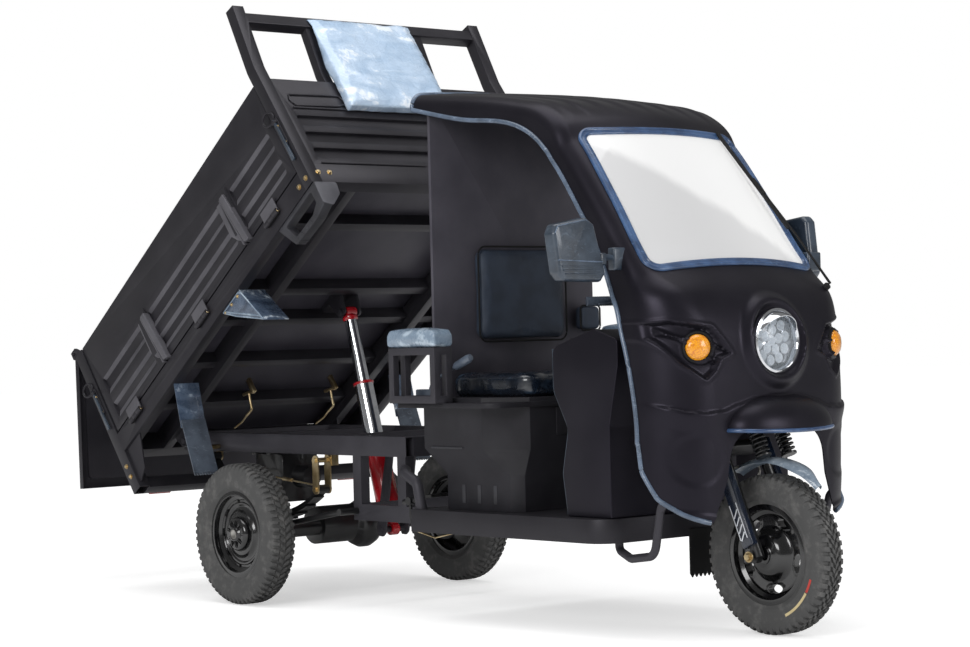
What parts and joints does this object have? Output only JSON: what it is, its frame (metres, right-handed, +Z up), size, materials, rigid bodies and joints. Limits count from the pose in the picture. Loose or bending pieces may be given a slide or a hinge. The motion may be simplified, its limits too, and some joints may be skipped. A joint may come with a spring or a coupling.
{
  "type": "three-wheeled cargo rickshaw with a tipping bed",
  "caption": "Electric cargo rickshaw with a half-open cab over one steered wheel and a hoisted tipping bed with drop sides over two rear wheels.",
  "frame": {"origin": "on the ground under the middle of the whole vehicle's box", "axes": "+X forwards, +Y to the vehicle's left, +Z up; the wheels stand on Z = 0 and the vehicle's centre line is Y = 0.0675, because one mirror is folded back"},
  "size_m": [3.6701, 1.4004, 2.2844],
  "materials": {
    "frame_black": "satin powder coat",
    "bed_black": "satin powder coat",
    "cab_black": "matt moulded skin",
    "moulding_black": "grained moulding",
    "loop_grey": "grained moulding",
    "glass": "clear",
    "rubber_blue": "filmed rubber trim",
    "rubber_black": "matt",
    "lamp": "clear lens over a bright bowl",
    "amber": "ribbed lens",
    "red_lens": "ribbed lens",
    "seat_vinyl": "textured vinyl",
    "film_pad": "pad under clear film",
    "battery_case": "plain case",
    "axle_black": "satin",
    "spring_steel": "satin",
    "zinc_gold": "yellow zinc",
    "hoist_red": "gloss paint",
    "chrome": "polished",
    "tyre": "matt",
    "wheel_black": "gloss paint"
  },
  "bodies": {
    "chassis": {"chassis_frame": "frame_black", "cab_floor": "frame_black", "cab_shell": "cab_black", "cab_rear_wall": "frame_black", "windshield": "glass", "windshield_gasket": "rubber_blue", "wiper": "rubber_black", "headlamp": "lamp", "turn_signals": "amber", "mirrors": "moulding_black", "seat_base": "moulding_black", "battery": "battery_case", "seat_cushion": "seat_vinyl", "backrest": "seat_vinyl", "armrest_frames": "frame_black", "armrest_pads": "film_pad", "leg_shield": "moulding_black", "rear_axle": "axle_black", "leaf_springs": "spring_steel", "spring_shackles": "zinc_gold", "radius_rods": "axle_black", "power_pack": "axle_black", "front_mudflap": "rubber_black"},
    "bed": {"bed_frame": "bed_black", "bed_floor": "bed_black", "headboard": "bed_black", "headboard_rack": "bed_black", "rack_pad": "film_pad", "tail_lamps": "red_lens", "gate_latches": "bed_black", "mudguards": "bed_black", "mudflaps": "rubber_blue", "corner_handles": "loop_grey", "hold_down_hooks": "zinc_gold"},
    "side_gate_right": {"side_gate_right": "bed_black"},
    "side_gate_left": {"side_gate_left": "bed_black"},
    "tailgate": {"tailgate": "bed_black"},
    "hoist_barrel": {"hoist_barrel": "hoist_red"},
    "hoist_stage_1": {"hoist_stage_1": "chrome"},
    "hoist_stage_2": {"hoist_stage_2": "chrome"},
    "steering": {"fork": "axle_black", "front_shocks": "axle_black", "front_fender": "chrome", "handlebar": "axle_black"},
    "front_wheel": {"front_tyre": "tyre", "front_rim": "wheel_black"},
    "rear_wheel_right": {"rear_tyre_right": "tyre", "rear_rim_right": "wheel_black"},
    "rear_wheel_left": {"rear_tyre_left": "tyre", "rear_rim_left": "wheel_black"}
  },
  "joints": [
    {"name": "bed_tilt", "type": "hinge", "parent": "chassis", "child": "bed", "pos_m": [-1.29456, 0.0675, 0.61], "axis": [0, 1, 0], "range_deg": [0, 37.37]},
    {"name": "tailgate_swing", "type": "hinge", "parent": "bed", "child": "tailgate", "pos_m": [-1.78894, 0.0675, 0.9723], "axis": [0, 1, 0], "range_deg": [-35.89, 54.11]},
    {"name": "gate_right_drop", "type": "hinge", "parent": "bed", "child": "side_gate_right", "pos_m": [-1.47555, -0.5545, 0.58502], "axis": [0.7947, 0, 0.607], "range_deg": [0, 170]},
    {"name": "gate_left_drop", "type": "hinge", "parent": "bed", "child": "side_gate_left", "pos_m": [-1.47555, 0.6895, 0.58502], "axis": [-0.7947, 0, -0.607], "range_deg": [0, 170]},
    {"name": "hoist_swing", "type": "hinge", "parent": "chassis", "child": "hoist_barrel", "pos_m": [-0.43206, 0.0675, 0.26], "axis": [0, 1, 0], "range_deg": [-0.5, 6.54]},
    {"name": "hoist_slide_1", "type": "slide", "parent": "hoist_barrel", "child": "hoist_stage_1", "axis": [-0.2783, 0, 0.9605], "range_m": [-0.25398, 0.001]},
    {"name": "hoist_slide_2", "type": "slide", "parent": "hoist_stage_1", "child": "hoist_stage_2", "axis": [-0.2783, 0, 0.9605], "range_m": [-0.25398, 0.001]},
    {"name": "steering", "type": "hinge", "parent": "chassis", "child": "steering", "pos_m": [1.42794, 0.0675, 0.557], "axis": [-0.3987, 0, 0.9171], "range_deg": [-40, 40]},
    {"name": "front_wheel_spin", "type": "hinge", "parent": "steering", "child": "front_wheel", "pos_m": [1.58294, 0.0675, 0.264], "axis": [0, 1, 0], "continuous": true},
    {"name": "rear_wheel_right_spin", "type": "hinge", "parent": "chassis", "child": "rear_wheel_right", "pos_m": [-0.67206, -0.4705, 0.2705], "axis": [0, 1, 0], "continuous": true},
    {"name": "rear_wheel_left_spin", "type": "hinge", "parent": "chassis", "child": "rear_wheel_left", "pos_m": [-0.67206, 0.6055, 0.2705], "axis": [0, 1, 0], "continuous": true}
  ],
  "couplings": [
    {"joint": "hoist_swing", "follows": "bed_tilt", "ratio": 0.16149},
    {"joint": "hoist_slide_1", "follows": "bed_tilt", "m_per_rad": -0.38788},
    {"joint": "hoist_slide_2", "follows": "bed_tilt", "m_per_rad": -0.38788}
  ]
}
